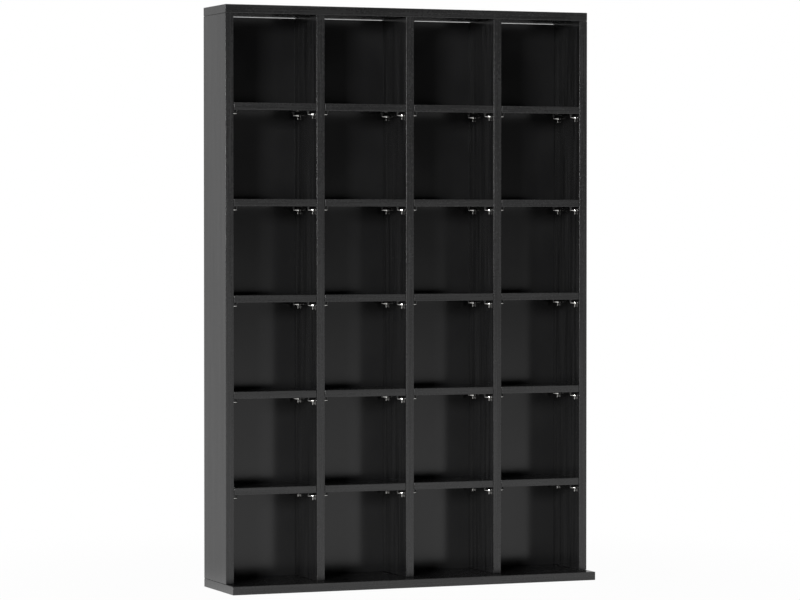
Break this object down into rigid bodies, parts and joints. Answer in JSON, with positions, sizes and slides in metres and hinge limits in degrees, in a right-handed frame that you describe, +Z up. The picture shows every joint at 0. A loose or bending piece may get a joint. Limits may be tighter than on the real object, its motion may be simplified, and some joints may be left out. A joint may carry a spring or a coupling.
{
  "type": "cd rack",
  "caption": "Tall shallow rack in black board with a grid of compartments, loose shelves on metal supports and a base board that reaches forward.",
  "frame": {"origin": "on the floor, under the middle of the overall box", "axes": "+X right, -Y front (the base board's foot reaches that way), +Z up"},
  "size_m": [0.88, 0.2, 1.305],
  "materials": {
    "carcass_board": "matt black wood-grain melamine",
    "shelf_board": "matt black wood-grain melamine",
    "back_board": "matt black hardboard",
    "nickel": "bright nickel plate"
  },
  "bodies": {
    "carcass": {"base_board": "carcass_board", "top_board": "carcass_board", "side_panel_left": "carcass_board", "side_panel_right": "carcass_board", "divider_1": "carcass_board", "divider_2": "carcass_board", "divider_3": "carcass_board", "back_panel_left": "back_board", "back_panel_right": "back_board", "support_divider1_level1_front": "nickel", "support_divider1_level1_rear": "nickel", "support_divider1_level2_front": "nickel", "support_divider1_level2_rear": "nickel", "support_divider1_level3_front": "nickel", "support_divider1_level3_rear": "nickel", "support_divider1_level4_front": "nickel", "support_divider1_level4_rear": "nickel", "support_divider1_level5_front": "nickel", "support_divider1_level5_rear": "nickel", "support_divider2_level1_front": "nickel", "support_divider2_level1_rear": "nickel", "support_divider2_level2_front": "nickel", "support_divider2_level2_rear": "nickel", "support_divider2_level3_front": "nickel", "support_divider2_level3_rear": "nickel", "support_divider2_level4_front": "nickel", "support_divider2_level4_rear": "nickel", "support_divider2_level5_front": "nickel", "support_divider2_level5_rear": "nickel", "support_divider3_level1_front": "nickel", "support_divider3_level1_rear": "nickel", "support_divider3_level2_front": "nickel", "support_divider3_level2_rear": "nickel", "support_divider3_level3_front": "nickel", "support_divider3_level3_rear": "nickel", "support_divider3_level4_front": "nickel", "support_divider3_level4_rear": "nickel", "support_divider3_level5_front": "nickel", "support_divider3_level5_rear": "nickel"},
    "shelf_level1_bay1": {"shelf_level1_bay1": "shelf_board"},
    "shelf_level1_bay2": {"shelf_level1_bay2": "shelf_board"},
    "shelf_level1_bay3": {"shelf_level1_bay3": "shelf_board"},
    "shelf_level1_bay4": {"shelf_level1_bay4": "shelf_board"},
    "shelf_level2_bay1": {"shelf_level2_bay1": "shelf_board"},
    "shelf_level2_bay2": {"shelf_level2_bay2": "shelf_board"},
    "shelf_level2_bay3": {"shelf_level2_bay3": "shelf_board"},
    "shelf_level2_bay4": {"shelf_level2_bay4": "shelf_board"},
    "shelf_level3_bay1": {"shelf_level3_bay1": "shelf_board"},
    "shelf_level3_bay2": {"shelf_level3_bay2": "shelf_board"},
    "shelf_level3_bay3": {"shelf_level3_bay3": "shelf_board"},
    "shelf_level3_bay4": {"shelf_level3_bay4": "shelf_board"},
    "shelf_level4_bay1": {"shelf_level4_bay1": "shelf_board"},
    "shelf_level4_bay2": {"shelf_level4_bay2": "shelf_board"},
    "shelf_level4_bay3": {"shelf_level4_bay3": "shelf_board"},
    "shelf_level4_bay4": {"shelf_level4_bay4": "shelf_board"},
    "shelf_level5_bay1": {"shelf_level5_bay1": "shelf_board"},
    "shelf_level5_bay2": {"shelf_level5_bay2": "shelf_board"},
    "shelf_level5_bay3": {"shelf_level5_bay3": "shelf_board"},
    "shelf_level5_bay4": {"shelf_level5_bay4": "shelf_board"}
  },
  "joints": [
    {"name": "shelf_level1_bay1_slide", "type": "slide", "parent": "carcass", "child": "shelf_level1_bay1", "axis": [0, -1, 0], "range_m": [0, 0.116]},
    {"name": "shelf_level1_bay2_slide", "type": "slide", "parent": "carcass", "child": "shelf_level1_bay2", "axis": [0, -1, 0], "range_m": [0, 0.116]},
    {"name": "shelf_level1_bay3_slide", "type": "slide", "parent": "carcass", "child": "shelf_level1_bay3", "axis": [0, -1, 0], "range_m": [0, 0.116]},
    {"name": "shelf_level1_bay4_slide", "type": "slide", "parent": "carcass", "child": "shelf_level1_bay4", "axis": [0, -1, 0], "range_m": [0, 0.116]},
    {"name": "shelf_level2_bay1_slide", "type": "slide", "parent": "carcass", "child": "shelf_level2_bay1", "axis": [0, -1, 0], "range_m": [0, 0.116]},
    {"name": "shelf_level2_bay2_slide", "type": "slide", "parent": "carcass", "child": "shelf_level2_bay2", "axis": [0, -1, 0], "range_m": [0, 0.116]},
    {"name": "shelf_level2_bay3_slide", "type": "slide", "parent": "carcass", "child": "shelf_level2_bay3", "axis": [0, -1, 0], "range_m": [0, 0.116]},
    {"name": "shelf_level2_bay4_slide", "type": "slide", "parent": "carcass", "child": "shelf_level2_bay4", "axis": [0, -1, 0], "range_m": [0, 0.116]},
    {"name": "shelf_level3_bay1_slide", "type": "slide", "parent": "carcass", "child": "shelf_level3_bay1", "axis": [0, -1, 0], "range_m": [0, 0.116]},
    {"name": "shelf_level3_bay2_slide", "type": "slide", "parent": "carcass", "child": "shelf_level3_bay2", "axis": [0, -1, 0], "range_m": [0, 0.116]},
    {"name": "shelf_level3_bay3_slide", "type": "slide", "parent": "carcass", "child": "shelf_level3_bay3", "axis": [0, -1, 0], "range_m": [0, 0.116]},
    {"name": "shelf_level3_bay4_slide", "type": "slide", "parent": "carcass", "child": "shelf_level3_bay4", "axis": [0, -1, 0], "range_m": [0, 0.116]},
    {"name": "shelf_level4_bay1_slide", "type": "slide", "parent": "carcass", "child": "shelf_level4_bay1", "axis": [0, -1, 0], "range_m": [0, 0.116]},
    {"name": "shelf_level4_bay2_slide", "type": "slide", "parent": "carcass", "child": "shelf_level4_bay2", "axis": [0, -1, 0], "range_m": [0, 0.116]},
    {"name": "shelf_level4_bay3_slide", "type": "slide", "parent": "carcass", "child": "shelf_level4_bay3", "axis": [0, -1, 0], "range_m": [0, 0.116]},
    {"name": "shelf_level4_bay4_slide", "type": "slide", "parent": "carcass", "child": "shelf_level4_bay4", "axis": [0, -1, 0], "range_m": [0, 0.116]},
    {"name": "shelf_level5_bay1_slide", "type": "slide", "parent": "carcass", "child": "shelf_level5_bay1", "axis": [0, -1, 0], "range_m": [0, 0.116]},
    {"name": "shelf_level5_bay2_slide", "type": "slide", "parent": "carcass", "child": "shelf_level5_bay2", "axis": [0, -1, 0], "range_m": [0, 0.116]},
    {"name": "shelf_level5_bay3_slide", "type": "slide", "parent": "carcass", "child": "shelf_level5_bay3", "axis": [0, -1, 0], "range_m": [0, 0.116]},
    {"name": "shelf_level5_bay4_slide", "type": "slide", "parent": "carcass", "child": "shelf_level5_bay4", "axis": [0, -1, 0], "range_m": [0, 0.116]}
  ]
}
